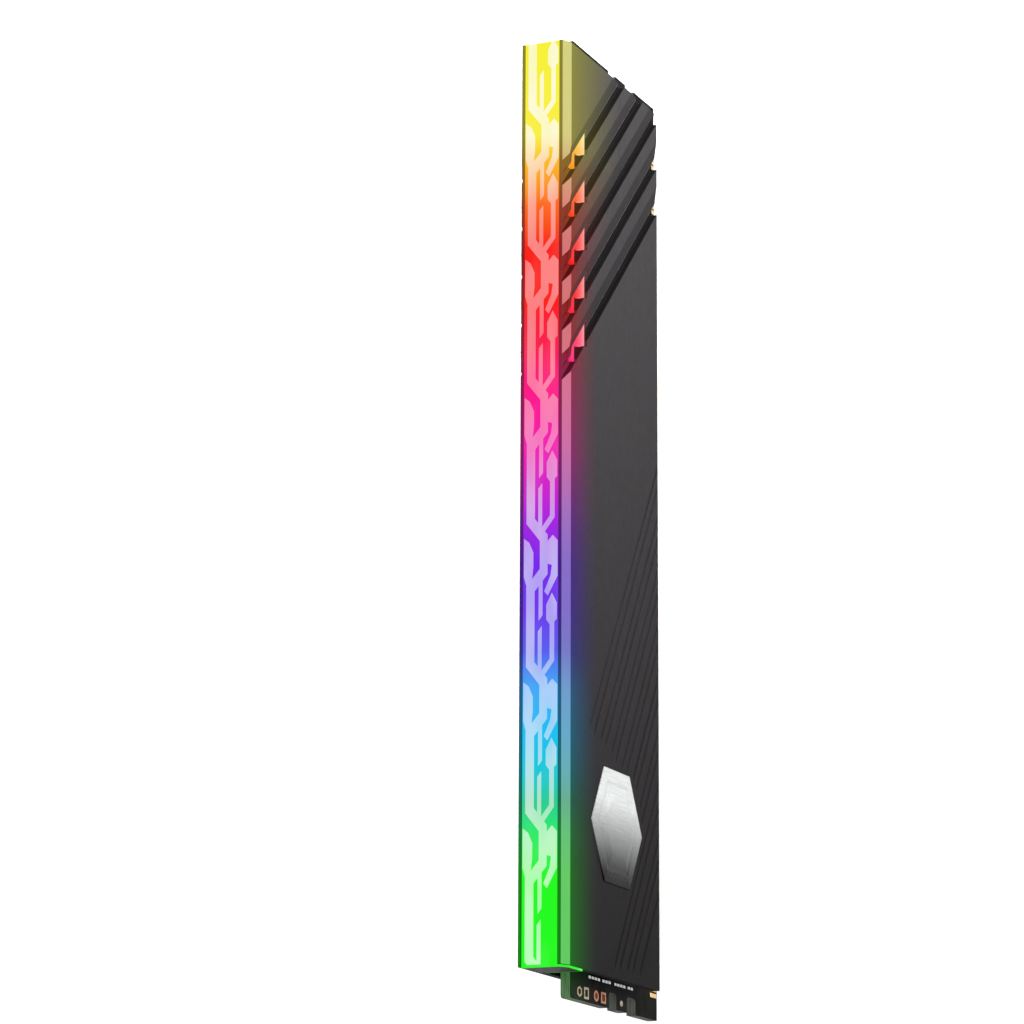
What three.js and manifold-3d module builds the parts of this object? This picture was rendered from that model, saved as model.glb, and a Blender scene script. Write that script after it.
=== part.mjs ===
// Memory module with heat spreaders and a light bar along its top edge.
// Millimetres. X runs along the module, Y through its thickness, Z up from the card edge.
// The origin is the middle of the card edge, on the centre plane of the circuit board.
import * as THREE from "three";
import { mergeVertices } from "three/addons/utils/BufferGeometryUtils.js";
import Module from "manifold-3d";

// Circuit board: the standard outline of a 288-contact module.
const BOARD_LENGTH = 133.35;
const BOARD_HEIGHT = 31.25;
const BOARD_THICK = 1.4;
const BOARD_END = BOARD_LENGTH / 2;
const BOARD_FACE = BOARD_THICK / 2;
const CORNER_RADIUS = 0.6;

// Card edge: a long middle run at z = 0 that ramps up a little towards both ends.
const EDGE_STEP = 0.5;
const RAMP_LEFT_OUT = -34.425;
const RAMP_LEFT_IN = -24.225;
const RAMP_RIGHT_IN = 30.175;
const RAMP_RIGHT_OUT = 40.375;
const KEY_X = 4.25;
const KEY_WIDTH = 1.5;
const KEY_HEIGHT = 4.0;

// Latch notches, the same pair in both ends of the board.
const LATCH_NOTCHES = [
  [8.3, 11.5],
  [15.2, 17.9],
];
const LATCH_DEPTH = 2.15;
const LATCH_RADIUS = 0.75;

// Contacts: plated pads on both faces, in a long and a short row beside the key.
const PAD_PITCH = 0.85;
const PAD_WIDTH = 0.6;
const PAD_TOP = 2.95;
const PAD_EDGE_GAP = 0.25;
const PAD_SKIN = 0.05;
const PAD_TIE = 0.12;
const LONG_ROW = { first: -63.325, count: 77 };
const SHORT_ROW = { first: 7.225, count: 67 };

// Heat spreaders: two folded aluminium sheets with a chamfered top edge.
const SHEET_END = 63.35;
const SHEET_BOTTOM = 6.9;
const SHEET_TOP = 40.0;
const SHEET_INNER = 2.55;
const SHEET_OUTER = 3.7;
const LAND_OUTER = 3.0;
const CHAMFER_BOTTOM = 38.4;

// Five diagonal steps are pressed into the sheet: a sloping facet beside a deep slot. Each
// step runs out through the chamfer as a gap that is narrower than the facet.
const STEP_COUNT = 5;
const STEP_FIRST = 83.2;
const STEP_PITCH = 6.85;
const STEP_SLOT = -0.85;
const STEP_RIDGE = 0.7;
const STEP_CREST = 3.45;
const GAP_END = 2.6;
const SLOT_FLOOR = 2.9;
const RIDGE_DEPTH = 0.35;
const NOTCH_BOTTOM = 38.6;

// A light window opens through the top of each diagonal step.
const WINDOW_BOTTOM = 32.75;
const WINDOW_FOOT = 36.3;
const WINDOW_TOP = 37.7;
const WINDOW_LEG = 37.55;
const WINDOW_FIT = 0.12;
const WINDOW_FACE = 3.3;

// Fine stripes engraved in pairs across the lower part of the sheet. The first ones stop
// short of the badge, and the last ones run past it to the end of the sheet.
const STRIPE_COUNT = 17;
const STRIPE_START = 10.94;
const STRIPE_PITCH = 3.78;
const STRIPE_PAIRING = 0.6;
const STRIPE_RUN = 1.674;
const STRIPE_STOP = -30.5;
const STRIPE_NEAR_BADGE = 9;
const STRIPE_PAST_BADGE = 12;
const STRIPE_LAST_STOP = -61.5;
const STRIPE_WIDTH = 1.2;
const STRIPE_DEPTH = 0.14;
const STRIPE_RIM = 0.35;

// Light bar: a clear moulding held between the sheets, with a thin cap over one end. A
// window light lies in a pocket in each of its sides and fills the windows of that sheet.
const BAR_BOTTOM = 31.6;
const FILM_THICK = 0.12;
const BAR_TOP = SHEET_TOP - FILM_THICK;
const CAP_THICK = 0.3;
const CAP_BOTTOM = 34.0;
const CAP_INSET = 0.1;
const POCKET = { from: 17.5, to: 53.2, bottom: 32.3, top: 38.1, depth: 0.4 };

// Printed motif on the light bar, repeated along its length.
const MOTIF_FIRST = 78.9;
const MOTIF_PITCH = 19.45;
const MOTIF_COUNT = 8;
const FILM_EDGE = 0.08;

// Parts soldered to the front face of the board.
const CHIP = { width: 7.5, thick: 1.1, height: 11.0, bottom: 9.5 };
const CHIP_X = [-54, -41.5, -29, -16.5, 16.5, 29, 41.5, 54];
const LED = { width: 3.2, thick: 1.2, height: 1.4 };
const LED_X = [-56, -40, -24, -8, 8, 24, 40, 56];
const RESISTOR = { width: 1.6, thick: 0.45, height: 0.9, bottom: 5.3 };
const CAPACITOR = { width: 0.9, thick: 0.5, height: 1.6, bottom: 22.4 };
const PAD_SPAN = 58.5;

// Badge: a low faceted hexagon with a raised centre.
const BADGE_X = -43.2;
const BADGE_Z = 22.6;
const BADGE_RADIUS = 8.9;
const BADGE_STEP_RADIUS = 7.1;
const BADGE_CENTRE_RADIUS = 4.6;
const BADGE_BASE = 0.16;
const BADGE_HEIGHT = 0.5;

// Bare copper marks on the board end, outside the sheets.
const MARK_X = -65.53;
const MARK_SKIN = 0.05;

const CURVE_SEGMENTS = 5;
const CUT_MARGIN = 0.6;

const wasm = await Module();
wasm.setup();

const part = new THREE.Group();
part.name = "memory_module";

function material(color, metalness, roughness) {
  return new THREE.MeshStandardMaterial({ color, metalness, roughness });
}

function add(name, geometry, look, place = [0, 0, 0]) {
  const mesh = new THREE.Mesh(geometry, look);
  mesh.name = name;
  mesh.position.set(...place);
  part.add(mesh);
  return mesh;
}

// A shape drawn in X and Z and given thickness from y0 to y1.
function plate(shape, y0, y1) {
  const geometry = new THREE.ExtrudeGeometry(shape, {
    depth: y1 - y0,
    bevelEnabled: false,
    curveSegments: CURVE_SEGMENTS,
  });
  geometry.rotateX(Math.PI / 2);
  geometry.translate(0, y1, 0);
  return geometry;
}

function polygon(points) {
  return new THREE.Shape(points.map(([a, b]) => new THREE.Vector2(a, b)));
}

// A profile drawn in Y and Z and drawn out along X, centred on x = 0.
function extrusion(points, length) {
  const geometry = new THREE.ExtrudeGeometry(polygon(points), {
    depth: length,
    bevelEnabled: false,
  });
  geometry.translate(0, 0, -length / 2);
  geometry.applyMatrix4(
    new THREE.Matrix4().makeBasis(
      new THREE.Vector3(0, 1, 0),
      new THREE.Vector3(0, 0, 1),
      new THREE.Vector3(1, 0, 0),
    ),
  );
  return geometry;
}

function toSolid(geometry) {
  const bare = geometry.clone();
  bare.deleteAttribute("normal");
  bare.deleteAttribute("uv");
  const merged = mergeVertices(bare, 1e-5);
  const mesh = new wasm.Mesh({
    numProp: 3,
    vertProperties: merged.attributes.position.array,
    triVerts: new Uint32Array(merged.index.array),
  });
  return new wasm.Manifold(mesh);
}

function toGeometry(solid) {
  const mesh = solid.getMesh();
  const indexed = new THREE.BufferGeometry();
  indexed.setAttribute("position", new THREE.BufferAttribute(mesh.vertProperties, 3));
  indexed.setIndex(new THREE.BufferAttribute(mesh.triVerts, 1));
  const geometry = indexed.toNonIndexed();
  geometry.computeVertexNormals();
  return geometry;
}

function join(geometries) {
  return geometries.map(toSolid).reduce((all, next) => all.add(next));
}

// ---- circuit board ----

function cardEdge(x) {
  if (x <= RAMP_LEFT_OUT || x >= RAMP_RIGHT_OUT) return EDGE_STEP;
  if (x < RAMP_LEFT_IN) return (EDGE_STEP * (RAMP_LEFT_IN - x)) / (RAMP_LEFT_IN - RAMP_LEFT_OUT);
  if (x > RAMP_RIGHT_IN) return (EDGE_STEP * (x - RAMP_RIGHT_IN)) / (RAMP_RIGHT_OUT - RAMP_RIGHT_IN);
  return 0;
}

// One latch notch on the right (side = 1, drawn upwards) or left (side = -1, downwards).
function latchNotch(outline, side, low, high) {
  const edge = side * BOARD_END;
  const root = side * (BOARD_END - LATCH_DEPTH);
  const near = side > 0 ? low : high;
  const far = side > 0 ? high : low;
  const turn = side * LATCH_RADIUS;
  const rise = far > near ? LATCH_RADIUS : -LATCH_RADIUS;
  outline.lineTo(edge, near);
  outline.lineTo(root + turn, near);
  outline.quadraticCurveTo(root, near, root, near + rise);
  outline.lineTo(root, far - rise);
  outline.quadraticCurveTo(root, far, root + turn, far);
  outline.lineTo(edge, far);
}

function boardOutline() {
  const key = KEY_WIDTH / 2;
  const outline = new THREE.Shape();
  outline.moveTo(-BOARD_END, EDGE_STEP);
  outline.lineTo(RAMP_LEFT_OUT, EDGE_STEP);
  outline.lineTo(RAMP_LEFT_IN, 0);
  outline.lineTo(KEY_X - key, 0);
  outline.lineTo(KEY_X - key, KEY_HEIGHT - key);
  outline.absarc(KEY_X, KEY_HEIGHT - key, key, Math.PI, 0, true);
  outline.lineTo(KEY_X + key, 0);
  outline.lineTo(RAMP_RIGHT_IN, 0);
  outline.lineTo(RAMP_RIGHT_OUT, EDGE_STEP);
  outline.lineTo(BOARD_END, EDGE_STEP);
  for (const [low, high] of LATCH_NOTCHES) latchNotch(outline, 1, low, high);
  outline.lineTo(BOARD_END, BOARD_HEIGHT - CORNER_RADIUS);
  outline.quadraticCurveTo(BOARD_END, BOARD_HEIGHT, BOARD_END - CORNER_RADIUS, BOARD_HEIGHT);
  outline.lineTo(-BOARD_END + CORNER_RADIUS, BOARD_HEIGHT);
  outline.quadraticCurveTo(-BOARD_END, BOARD_HEIGHT, -BOARD_END, BOARD_HEIGHT - CORNER_RADIUS);
  for (const [low, high] of [...LATCH_NOTCHES].reverse()) latchNotch(outline, -1, low, high);
  return outline;
}

add(
  "circuit_board",
  plate(boardOutline(), -BOARD_FACE, BOARD_FACE),
  material(0x141416, 0.0, 0.45),
);

// ---- contacts ----

// A row of pads, hanging from a hairline plating tie so that the row is one piece.
function contactRow({ first, count }) {
  const half = PAD_WIDTH / 2;
  const tie = PAD_TOP - PAD_TIE;
  const last = first + (count - 1) * PAD_PITCH;
  const points = [
    [first - half, PAD_TOP],
    [last + half, PAD_TOP],
  ];
  for (let i = count - 1; i >= 0; i--) {
    const x = first + i * PAD_PITCH;
    const foot = cardEdge(x) + PAD_EDGE_GAP;
    if (i < count - 1) points.push([x + half, tie]);
    points.push([x + half, foot], [x - half, foot]);
    if (i > 0) points.push([x - half, tie]);
  }
  return polygon(points);
}

const gold = () => material(0xd9a441, 1.0, 0.28);
for (const [name, row] of [["long", LONG_ROW], ["short", SHORT_ROW]]) {
  const shape = contactRow(row);
  add("contacts_front_" + name, plate(shape, -BOARD_FACE - PAD_SKIN, -BOARD_FACE), gold());
  add("contacts_back_" + name, plate(shape, BOARD_FACE, BOARD_FACE + PAD_SKIN), gold());
}

// ---- parts on the front face of the board ----

// A box standing on the front face, centred at x with its lower side at z = bottom.
function onFront(name, size, x, bottom, look) {
  const box = new THREE.BoxGeometry(size.width, size.thick, size.height);
  add(name, box, look, [x, -BOARD_FACE - size.thick / 2, bottom + size.height / 2]);
}

CHIP_X.forEach((x, i) => {
  const n = i + 1;
  onFront("dram_chip_" + n, CHIP, x, CHIP.bottom, material(0x1b1c1e, 0.0, 0.55));
  onFront("resistor_pack_" + n, RESISTOR, x, RESISTOR.bottom, material(0x26262a, 0.0, 0.4));
  onFront("capacitor_" + n, CAPACITOR, x, CAPACITOR.bottom, material(0x9a7b58, 0.1, 0.5));
});
LED_X.forEach((x, i) => {
  onFront("led_" + (i + 1), LED, x, BOARD_HEIGHT - LED.height, material(0xf2f0e6, 0.0, 0.35));
});
onFront("spd_chip", { width: 3.0, thick: 0.8, height: 2.0 }, 0, 14, material(0x17181a, 0.0, 0.5));
onFront(
  "led_controller",
  { width: 5.0, thick: 0.9, height: 5.0 },
  0,
  22.5,
  material(0x17181a, 0.0, 0.5),
);

// ---- thermal pads ----

function thermalPad(name, y0, y1) {
  const thick = y1 - y0;
  const box = new THREE.BoxGeometry(2 * PAD_SPAN, thick, CHIP.height);
  const middle = CHIP.bottom + CHIP.height / 2;
  add(name, box, material(0x8e949b, 0.0, 0.9), [0, (y0 + y1) / 2, middle]);
}

thermalPad("thermal_pad_front", -SHEET_INNER, -BOARD_FACE - CHIP.thick);
thermalPad("thermal_pad_back", BOARD_FACE, SHEET_INNER);

// ---- heat spreaders ----

// A prism that leans with the diagonal steps: at height z it is shifted by -z along X.
// The profile is drawn in X (from the middle of the slot) and Y.
function leaningPrism(profile, offset, low, high) {
  const geometry = new THREE.ExtrudeGeometry(polygon(profile), {
    depth: high - low,
    bevelEnabled: false,
  });
  geometry.translate(0, 0, low);
  const lean = new THREE.Matrix4().makeShear(0, 0, 0, 0, -1, 0);
  geometry.applyMatrix4(lean);
  geometry.translate(offset, 0, 0);
  return geometry;
}

function stepCutter(offset) {
  const out = -SHEET_OUTER - CUT_MARGIN;
  const slope = RIDGE_DEPTH / (STEP_CREST - STEP_RIDGE);
  const past = STEP_CREST + 0.3;
  const profile = [
    [STEP_SLOT, out],
    [past, out],
    [past, -SHEET_OUTER - slope * 0.3],
    [STEP_RIDGE, -SHEET_OUTER + RIDGE_DEPTH],
    [STEP_RIDGE, -SLOT_FLOOR],
    [STEP_SLOT, -SLOT_FLOOR],
  ];
  return leaningPrism(profile, offset, SHEET_BOTTOM - 1, SHEET_TOP + 1);
}

// The gap in the chamfer: it takes the slot and the lower part of the facet.
function chamferGap(offset) {
  const out = -SHEET_OUTER - CUT_MARGIN;
  const profile = [
    [STEP_SLOT, out],
    [GAP_END, out],
    [GAP_END, -LAND_OUTER],
    [STEP_SLOT, -LAND_OUTER],
  ];
  return leaningPrism(profile, offset, NOTCH_BOTTOM, SHEET_TOP + 1);
}

// Outline of a light window in X and Z, drawn in by "fit" on every side.
function windowShape(offset, fit) {
  const at = (z, u) => offset - z + u;
  const lean = fit * Math.SQRT2;
  const low = WINDOW_BOTTOM + fit;
  const foot = WINDOW_FOOT + fit;
  const top = WINDOW_TOP - fit;
  const side = offset - WINDOW_LEG + fit;
  return polygon([
    [at(low, 2.0) - lean, low],
    [at(low, -1.65) + fit * 1.8, low],
    [at(foot, 1.05) + fit * 1.8, foot],
    [side, foot],
    [side, top],
    [at(top, 2.0) - lean, top],
  ]);
}

function stripeStop(index) {
  if (index >= STRIPE_PAST_BADGE) return STRIPE_LAST_STOP;
  if (index >= STRIPE_NEAR_BADGE) return -34.2 - 2.2 * (index - STRIPE_NEAR_BADGE + 1);
  return STRIPE_STOP - 0.6 * index;
}

// A stripe is a thin slanted sliver with its outer side just proud of the sheet.
function stripeCutter(index) {
  const pairing = (index % 2) * STRIPE_PAIRING;
  const start = STRIPE_START + pairing - index * STRIPE_PITCH;
  const reach = start - stripeStop(index);
  const rise = reach / STRIPE_RUN;
  const z0 = SHEET_BOTTOM + STRIPE_RIM;
  const x0 = start - STRIPE_RIM * STRIPE_RUN;
  const shape = polygon([
    [x0 - STRIPE_WIDTH / 2, z0],
    [x0 + STRIPE_WIDTH / 2, z0],
    [start - reach + STRIPE_WIDTH / 2, SHEET_BOTTOM + rise],
    [start - reach - STRIPE_WIDTH / 2, SHEET_BOTTOM + rise],
  ]);
  return plate(shape, -SHEET_OUTER - CUT_MARGIN, -SHEET_OUTER + STRIPE_DEPTH);
}

const stepOffsets = [];
for (let i = 0; i < STEP_COUNT; i++) stepOffsets.push(STEP_FIRST - i * STEP_PITCH);

function frontSheet() {
  const profile = [
    [-SHEET_INNER, SHEET_BOTTOM],
    [-SHEET_INNER, SHEET_TOP],
    [-LAND_OUTER, SHEET_TOP],
    [-SHEET_OUTER, CHAMFER_BOTTOM],
    [-SHEET_OUTER, SHEET_BOTTOM],
  ];
  let sheet = toSolid(extrusion(profile, 2 * SHEET_END));
  for (const offset of stepOffsets) {
    const window = plate(windowShape(offset, 0), -SHEET_OUTER - CUT_MARGIN, -SHEET_INNER + 0.2);
    for (const cutter of [stepCutter(offset), chamferGap(offset), window]) {
      sheet = sheet.subtract(toSolid(cutter));
    }
  }
  for (let i = 0; i < STRIPE_COUNT; i++) sheet = sheet.subtract(toSolid(stripeCutter(i)));
  return sheet;
}

const sheet = frontSheet();
const anodised = () => material(0x4b494b, 0.85, 0.42);
add("heat_spreader_front", toGeometry(sheet), anodised());
add("heat_spreader_back", toGeometry(sheet.mirror([0, 1, 0])), anodised());

// ---- light bar ----

// The cap closes the end beside the badge and reaches down over the front sheet's end.
function endCap() {
  const profile = [
    [-SHEET_OUTER + CAP_INSET, CAP_BOTTOM],
    [SHEET_INNER, CAP_BOTTOM],
    [SHEET_INNER, BAR_TOP],
    [-LAND_OUTER + CAP_INSET, BAR_TOP],
    [-SHEET_OUTER + CAP_INSET, CHAMFER_BOTTOM],
  ];
  const geometry = extrusion(profile, CAP_THICK);
  geometry.translate(-SHEET_END - CAP_THICK / 2, 0, 0);
  return geometry;
}

// The slab that fills the pocket in the front side of the bar.
function pocketSlab() {
  const { from, to, bottom, top, depth } = POCKET;
  const slab = new THREE.BoxGeometry(to - from, depth, top - bottom);
  slab.translate((from + to) / 2, -SHEET_INNER + depth / 2, (bottom + top) / 2);
  return slab;
}

// The slab with five bosses on it, one for each window.
function windowLight() {
  const bosses = stepOffsets.map((offset) =>
    plate(windowShape(offset, WINDOW_FIT), -WINDOW_FACE, -SHEET_INNER + POCKET.depth / 2),
  );
  return join([pocketSlab(), ...bosses]);
}

function lightBar() {
  const core = new THREE.BoxGeometry(2 * SHEET_END, 2 * SHEET_INNER, BAR_TOP - BAR_BOTTOM);
  core.translate(0, 0, (BAR_TOP + BAR_BOTTOM) / 2);
  const pocket = toSolid(pocketSlab());
  return toSolid(core).subtract(pocket).subtract(pocket.mirror([0, 1, 0]));
}

const clear = () => material(0xf4f6f8, 0.0, 0.35);
const frontLight = windowLight();
add("light_bar_diffuser", toGeometry(lightBar()), clear());
add("light_bar_end_cap", endCap(), clear());
add("window_light_front", toGeometry(frontLight), clear());
add("window_light_back", toGeometry(frontLight.mirror([0, 1, 0])), clear());

// The motif: [distance along the bar from its start, distance across from the back edge].
// A zigzag trunk runs through all the repeats, and every branch touches it.
const MOTIF = {
  trunk: [
    [0, 0.5], [5.6, 0.5], [8.1, 2.45], [11.9, 2.45], [14.2, 0.5], [19.45, 0.5],
    [19.45, 1.7], [14.9, 1.7], [12.7, 3.55], [7.3, 3.55], [5.0, 1.7], [0, 1.7],
  ],
  frontBlade: [
    [8.4, 3.4], [7.4, 4.3], [8.2, 5.0], [13.0, 5.0], [15.6, 3.6],
    [15.0, 3.1], [12.9, 4.0], [11.5, 4.2], [11.2, 3.4],
  ],
  backBlade: [
    [7.6, 0.15], [12.8, 0.15], [14.2, 0.55], [13.4, 1.3], [11.6, 1.5], [9.6, 1.5], [8.2, 0.9],
  ],
  stem: [[-2.4, 4.55], [5.0, 4.55], [6.9, 3.1], [6.4, 2.6], [4.7, 3.9], [-2.4, 3.9]],
  bud: [[-4.2, 4.2], [-2.6, 3.4], [-0.6, 3.4], [0.2, 4.0], [-0.6, 4.9], [-2.8, 4.9]],
  innerLine: [[0.2, 2.75], [0.9, 2.2], [5.9, 2.2], [6.2, 2.75]],
  outerLine: [[13.6, 2.3], [18.9, 2.3], [18.2, 2.85], [13.4, 2.85]],
};

function motifPiece(corners, start) {
  const points = corners.map(([along, across]) => [start - along, SHEET_INNER - across]);
  const area = THREE.ShapeUtils.area(points.map(([x, y]) => new THREE.Vector2(x, y)));
  const outline = polygon(area < 0 ? points.reverse() : points);
  const geometry = new THREE.ExtrudeGeometry(outline, { depth: FILM_THICK, bevelEnabled: false });
  geometry.translate(0, 0, BAR_TOP);
  return geometry;
}

function patternFilm() {
  const pieces = [];
  for (let i = 0; i < MOTIF_COUNT; i++) {
    const start = MOTIF_FIRST - i * MOTIF_PITCH;
    for (const corners of Object.values(MOTIF)) pieces.push(motifPiece(corners, start));
  }
  const limit = new THREE.BoxGeometry(
    2 * (SHEET_END - FILM_EDGE),
    2 * (SHEET_INNER - FILM_EDGE),
    4,
  );
  limit.translate(0, 0, SHEET_TOP);
  const bodies = join(pieces).intersect(toSolid(limit)).decompose();
  bodies.sort((a, b) => b.volume() - a.volume());
  return bodies[0];
}

add("light_pattern_film", toGeometry(patternFilm()), material(0xffffff, 0.0, 0.3));

// ---- badges ----

// Concentric six-sided rings at rising heights, closed by a flat centre.
function badge() {
  const levels = [
    [BADGE_RADIUS, 0],
    [BADGE_RADIUS, BADGE_BASE],
    [BADGE_STEP_RADIUS, BADGE_BASE + 0.1],
    [BADGE_STEP_RADIUS - 0.6, BADGE_BASE],
    [BADGE_CENTRE_RADIUS, BADGE_HEIGHT],
    [0, BADGE_HEIGHT - 0.12],
  ].map(([radius, height]) => new THREE.Vector2(radius, height));
  const base = new THREE.Vector2(0, 0);
  return new THREE.LatheGeometry([base, ...levels], 6);
}

const silver = () => material(0xd9dcde, 0.9, 0.3);
const badgeFront = badge();
badgeFront.rotateX(Math.PI);
add("badge_front", badgeFront, silver(), [BADGE_X, -SHEET_OUTER, BADGE_Z]);
add("badge_back", badge(), silver(), [BADGE_X, SHEET_OUTER, BADGE_Z]);

// ---- bare copper marks on the board end ----

function ring(outer, inner) {
  const shape = polygon(outer);
  shape.holes.push(polygon([...inner].reverse()));
  return shape;
}

function regular(sides, halfX, halfZ, turn = 0) {
  const points = [];
  for (let i = 0; i < sides; i++) {
    const angle = turn + (2 * Math.PI * i) / sides;
    points.push([halfX * Math.cos(angle), halfZ * Math.sin(angle)]);
  }
  return points;
}

// Name, height, number of sides, half width along X and Z to the corners, first corner.
const MARKS = [
  ["mark_hexagon", 28.15, 6, 0.75, 0.88, 0],
  ["mark_square", 25.8, 4, 1.1, 1.1, Math.PI / 4],
  ["mark_round", 22.4, 16, 0.75, 0.82, 0],
  ["mark_oblong", 19.9, 4, 1.06, 1.2, Math.PI / 4],
];
for (const [name, z, sides, halfX, halfZ, turn] of MARKS) {
  const outer = regular(sides, halfX, halfZ, turn);
  const inner = regular(sides, halfX * 0.62, halfZ * 0.62, turn);
  const geometry = plate(ring(outer, inner), -MARK_SKIN, 0);
  add(name, geometry, gold(), [MARK_X, -BOARD_FACE, z]);
}
add(
  "mark_dot",
  plate(polygon(regular(8, 0.42, 0.5)), -MARK_SKIN, 0),
  gold(),
  [MARK_X - 0.1, -BOARD_FACE, 13.55],
);

export default part;
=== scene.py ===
# %% [markdown]
# # A desktop memory module with a light bar
#
# The object is a thin circuit card that plugs into a socket by its lower edge. Two dark
# aluminium sheets are glued over its chips, and between their upper edges sits a milky
# plastic bar that lamps on the card light up in all the colours of the rainbow.
#
# X runs along the card, Y through its thickness (the front sheet is at negative Y) and Z
# up from the card edge to the light bar. Blender works in metres, so one millimetre gets
# a name of its own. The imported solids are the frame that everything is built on.

# %% Load the frame
import math

import bmesh
import bpy
from mathutils import Matrix, Vector, noise


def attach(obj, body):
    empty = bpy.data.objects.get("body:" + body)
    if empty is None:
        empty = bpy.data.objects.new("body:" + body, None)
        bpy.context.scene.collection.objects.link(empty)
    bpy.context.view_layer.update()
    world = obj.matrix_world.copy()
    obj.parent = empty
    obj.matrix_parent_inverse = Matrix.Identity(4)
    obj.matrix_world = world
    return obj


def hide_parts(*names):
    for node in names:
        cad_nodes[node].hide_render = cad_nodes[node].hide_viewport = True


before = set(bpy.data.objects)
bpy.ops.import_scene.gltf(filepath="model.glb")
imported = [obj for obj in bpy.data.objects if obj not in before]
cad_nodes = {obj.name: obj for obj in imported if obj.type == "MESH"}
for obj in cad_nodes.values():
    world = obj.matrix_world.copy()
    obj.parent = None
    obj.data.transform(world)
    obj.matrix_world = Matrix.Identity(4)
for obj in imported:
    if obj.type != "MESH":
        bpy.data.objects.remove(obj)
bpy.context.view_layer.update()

MM = 0.001

# %% [markdown]
# ## The camera
#
# A camera can be placed by rotating it by hand, or by giving the three directions it
# needs: its right, its up and its back. The second way suits this subject, because the
# module lies along the camera's up direction. It is seen from above its front side, at a
# distance of about half a metre through a long lens, so that its edges stay almost
# parallel. "Lean" turns the view from straight above towards the front sheet, "tilt"
# slides the viewpoint towards the end with the badge, and "roll" levels it.

# %% Place the camera
CAMERA_AT = Vector((-122.3, -194.0, 487.8)) * MM
CAMERA_LEAN = math.radians(23.87)
CAMERA_TILT = math.radians(13.73)
CAMERA_ROLL = math.radians(0.32)
SENSOR_WIDTH = 36.0
FOCAL_LENGTH = 132.68


def camera_axes():
    """The camera's right, up and back directions as unit vectors."""
    above = Vector((0, -math.sin(CAMERA_LEAN), math.cos(CAMERA_LEAN)))
    along = Vector((1, 0, 0))
    back = math.cos(CAMERA_TILT) * above - math.sin(CAMERA_TILT) * along
    up = math.cos(CAMERA_TILT) * along + math.sin(CAMERA_TILT) * above
    right = along.cross(above)
    turned_right = math.cos(CAMERA_ROLL) * right + math.sin(CAMERA_ROLL) * up
    turned_up = math.cos(CAMERA_ROLL) * up - math.sin(CAMERA_ROLL) * right
    return turned_right, turned_up, back


def place_camera():
    right, up, back = camera_axes()
    lens = bpy.data.cameras.new("camera")
    lens.lens = FOCAL_LENGTH
    lens.sensor_width = SENSOR_WIDTH
    lens.clip_start = 0.01
    camera = bpy.data.objects.new("camera", lens)
    turn = Matrix((right, up, back)).transposed().to_4x4()
    camera.matrix_world = Matrix.Translation(CAMERA_AT) @ turn
    bpy.context.scene.collection.objects.link(camera)
    bpy.context.scene.camera = camera


place_camera()
print("camera looks along", [round(v, 3) for v in -camera_axes()[2]])

# %% [markdown]
# ## Floor and light
#
# The module stands on a plain pale floor under an even white sky. The sky alone could
# light everything, but then no edge would stand out. So a wide soft light hangs above,
# and a second one fills in from the front. A small one hangs close to the end away from
# the badge, so that the dark sheets are brighter there and sink into shade towards the
# badge; painted shade in the sheets' grey adds to this. The picture uses the plain
# "Standard" view so that the light bar keeps its full colours: the filmic views wash out
# bright saturated light.

# %% Floor, sky and lamps
WHITE = (1.0, 1.0, 1.0)
FLOOR_WHITE = (0.88, 0.88, 0.885, 1)
FLOOR_SIZE = 6.0
SKY_STRENGTH = 0.85


def lay_floor():
    size = FLOOR_SIZE / 2
    mesh = bpy.data.meshes.new("floor")
    corners = [(-size, -size, 0), (size, -size, 0), (size, size, 0), (-size, size, 0)]
    mesh.from_pydata(corners, [], [(0, 1, 2, 3)])
    floor = bpy.data.objects.new("floor", mesh)
    bpy.context.scene.collection.objects.link(floor)
    paint = bpy.data.materials.new("floor_paint")
    paint.use_nodes = True
    shader = paint.node_tree.nodes["Principled BSDF"]
    shader.inputs["Base Color"].default_value = FLOOR_WHITE
    shader.inputs["Roughness"].default_value = 0.9
    shader.inputs["Specular IOR Level"].default_value = 0.1
    mesh.materials.append(paint)


def soft_lamp(name, at, aim, size, power):
    """A white area lamp at one point that faces another, sizes in mm. It isn't seen itself."""
    lamp = bpy.data.lights.new(name, "AREA")
    lamp.shape = "RECTANGLE"
    lamp.size = size[0] * MM
    lamp.size_y = size[1] * MM
    lamp.energy = power
    lamp.color = WHITE
    holder = bpy.data.objects.new(name, lamp)
    place = Vector(at) * MM
    turn = (Vector(aim) * MM - place).to_track_quat("-Z", "Y")
    holder.matrix_world = Matrix.Translation(place) @ turn.to_matrix().to_4x4()
    holder.visible_camera = False
    bpy.context.scene.collection.objects.link(holder)


def light_sky(strength):
    sky = bpy.data.worlds.new("studio")
    sky.use_nodes = True
    background = sky.node_tree.nodes["Background"]
    background.inputs["Color"].default_value = (*WHITE, 1)
    background.inputs["Strength"].default_value = strength
    bpy.context.scene.world = sky


lay_floor()
light_sky(SKY_STRENGTH)
soft_lamp("overhead_lamp", (0, 100, 900), (0, 0, 0), (900, 900), 9.0)
soft_lamp("front_lamp", (200, -700, 350), (0, 0, 20), (500, 300), 7.0)
soft_lamp("far_end_lamp", (110, -120, 110), (45, 0, 20), (70, 50), 0.35)
bpy.context.scene.view_settings.view_transform = "Standard"

# %% [markdown]
# ## Tools for finishes
#
# Every finish below is a node material around one Principled shader. A few small helpers
# keep them readable: one makes the material, one gives the position on the object, and
# one adds a grain by feeding a stretched noise into a bump. Positions are in the object's
# own metres, so a grain has the same size on every piece.

# %% Material helpers
GRAIN_DEPTH = 0.03 * MM


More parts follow.
